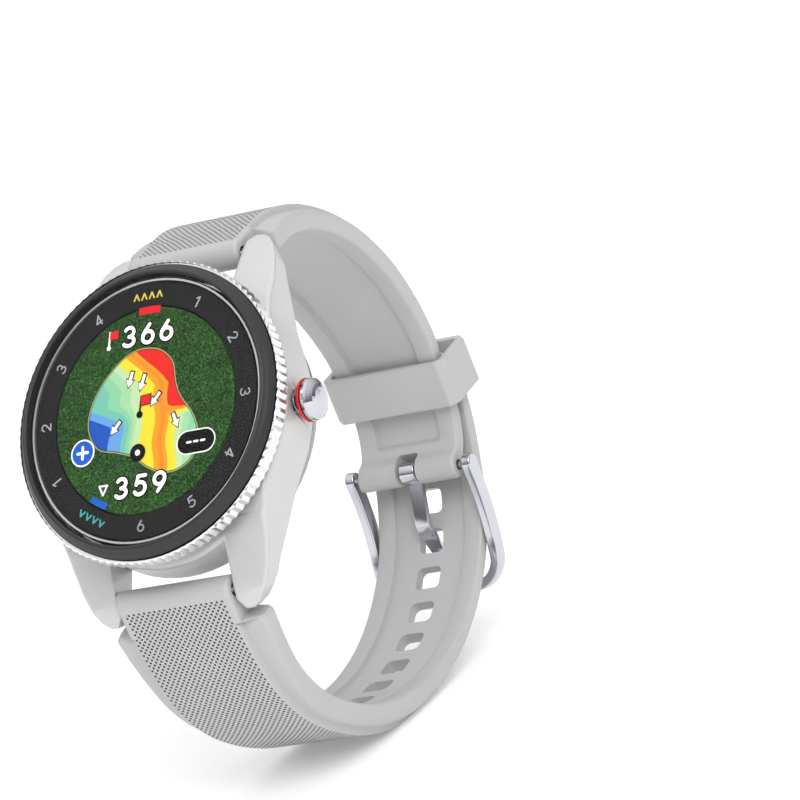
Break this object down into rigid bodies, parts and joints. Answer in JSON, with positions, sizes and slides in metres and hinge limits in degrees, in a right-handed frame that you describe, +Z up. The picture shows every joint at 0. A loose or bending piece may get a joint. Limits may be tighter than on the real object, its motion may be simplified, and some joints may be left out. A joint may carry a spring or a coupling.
{
  "type": "golf gps watch",
  "caption": "Round golf watch with a coin-edge rotating bezel, one side button and a buckled light grey rubber strap with a wide keeper",
  "frame": {"origin": "middle of the bounding box at the lowest point of the strap", "axes": "+X to 3 o clock, the button side; +Z up; the dial faces -Y and is tipped back 35 degrees, as the watch stands in the picture"},
  "size_m": [0.0488, 0.0904, 0.0812],
  "materials": {
    "glass": "clear, polished",
    "index_print": "fine satin print",
    "accent_metal": "polished",
    "screen": "lit display",
    "backplate": "plain",
    "black_plastic": "moulded",
    "bezel_dark": "satin charcoal",
    "coin_metal": "machined teeth",
    "spring_steel": "plain",
    "case_satin": "warm grey satin",
    "board": "solder mask",
    "battery_wrap": "film",
    "ceramic_patch": "fired",
    "motor_can": "plain",
    "chrome": "polished",
    "red_ring": "red",
    "back_steel": "brushed",
    "gasket": "soft",
    "strap_rubber": "matt moulded",
    "screw_steel": "machined",
    "contact_gold": "gold plated"
  },
  "bodies": {
    "watch_head": {"accent_ring": "accent_metal", "back_screw_1": "screw_steel", "back_screw_2": "screw_steel", "back_screw_3": "screw_steel", "back_screw_4": "screw_steel", "battery": "battery_wrap", "bezel_click_spring": "spring_steel", "button_spring": "spring_steel", "button_switch": "black_plastic", "case_back": "back_steel", "case_back_gasket": "gasket", "charge_contact_1": "contact_gold", "charge_contact_2": "contact_gold", "charge_contact_3": "contact_gold", "charge_contact_4": "contact_gold", "cover_glass": "glass", "display_backplate": "backplate", "display_frame": "black_plastic", "display_panel": "screen", "gps_antenna": "ceramic_patch", "index_ring": "index_print", "inner_frame": "black_plastic", "main_board": "board", "mid_case": "case_satin", "spring_bar_12": "spring_steel", "spring_bar_6": "spring_steel", "vibration_motor": "motor_can"},
    "bezel": {"bezel_ring": "bezel_dark", "coin_edge_ring": "coin_metal"},
    "button": {"button_cap": "chrome", "button_red_ring": "red_ring", "button_stem": "spring_steel"},
    "short_strap": {"strap_short": "strap_rubber"},
    "long_strap": {"strap_long": "strap_rubber"},
    "keeper_loop": {"keeper": "strap_rubber"},
    "buckle": {"buckle_frame": "chrome", "buckle_pin": "spring_steel"},
    "prong": {"tongue": "chrome"}
  },
  "joints": [
    {"name": "bezel_spin", "type": "hinge", "parent": "watch_head", "child": "bezel", "pos_m": [-0.00136, -0.03227, 0.06236], "axis": [0, -0.8192, 0.5736], "continuous": true},
    {"name": "button_press", "type": "slide", "parent": "watch_head", "child": "button", "axis": [-1, 0, 0], "range_m": [0, 0.0007], "stiffness_N_per_m": 400, "springref_m": -0.0008, "deforming": ["button_spring"]},
    {"name": "strap_pivot_12", "type": "hinge", "parent": "watch_head", "child": "short_strap", "pos_m": [-0.00136, -0.00911, 0.07764], "axis": [1, 0, 0], "range_deg": [-0.4, 0.4]},
    {"name": "strap_pivot_6", "type": "hinge", "parent": "watch_head", "child": "long_strap", "pos_m": [-0.00136, -0.03871, 0.03537], "axis": [1, 0, 0], "range_deg": [-0.36, 0.36]},
    {"name": "keeper_slide", "type": "slide", "parent": "short_strap", "child": "keeper_loop", "axis": [0, 0.1408, -0.99], "range_m": [-0.001, 0.001]},
    {"name": "buckle_swing", "type": "hinge", "parent": "short_strap", "child": "buckle", "pos_m": [-0.00136, 0.03399, 0.02866], "axis": [1, 0, 0], "range_deg": [0, 1]},
    {"name": "tongue_lift", "type": "hinge", "parent": "buckle", "child": "prong", "pos_m": [-0.00136, 0.03399, 0.02866], "axis": [1, 0, 0], "range_deg": [0, 1.5]}
  ],
  "couplings": [
    {"joint": "strap_pivot_6", "follows": "strap_pivot_12", "ratio": 0.9}
  ]
}
